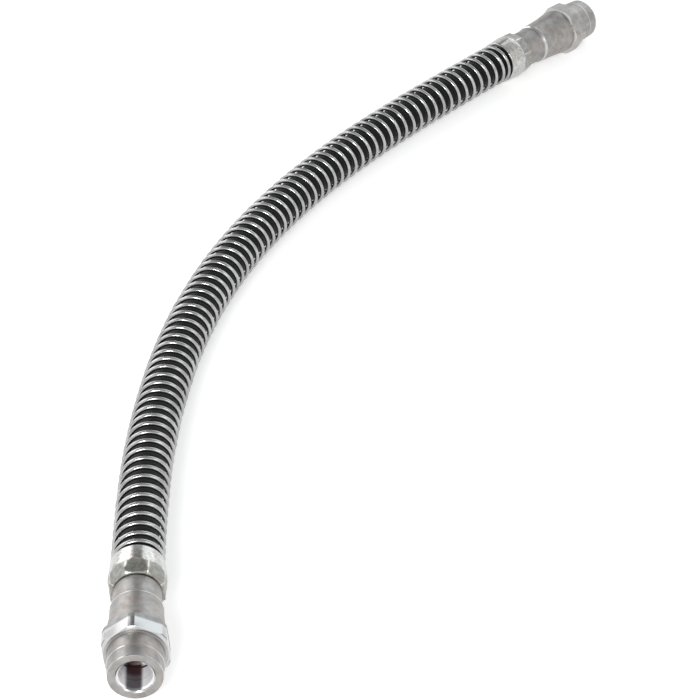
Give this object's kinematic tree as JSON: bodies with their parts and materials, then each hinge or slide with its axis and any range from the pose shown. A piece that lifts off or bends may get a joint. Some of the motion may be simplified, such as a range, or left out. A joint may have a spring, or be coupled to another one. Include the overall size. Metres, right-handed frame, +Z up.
{
  "type": "brake hose",
  "caption": "Flexible rubber brake hose in an open bow, wrapped in a coiled steel spring guard, with crimped female threaded fittings on its ends.",
  "frame": {"origin": "centre of the plan outline, on the surface the hose lies on", "axes": "+X from the near fitting to the far fitting along the chord of the bow, +Y towards the outside of the bow, +Z up from the surface"},
  "size_m": [0.4208, 0.072, 0.0187],
  "materials": {
    "inner_rubber": "smooth black rubber",
    "textile": "woven textile cord, bonded in rubber",
    "black_rubber": "matt black rubber",
    "bright_wire": "bright drawn steel wire with a thin zinc coat",
    "zinc_plated_steel": "satin zinc plating over turned steel"
  },
  "bodies": {
    "root": {"hose_liner": "inner_rubber", "hose_braid": "textile", "hose_cover": "black_rubber", "spring_guard": "bright_wire", "near_fitting": "zinc_plated_steel", "near_ferrule": "zinc_plated_steel", "far_fitting": "zinc_plated_steel", "far_ferrule": "zinc_plated_steel"}
  },
  "joints": []
}
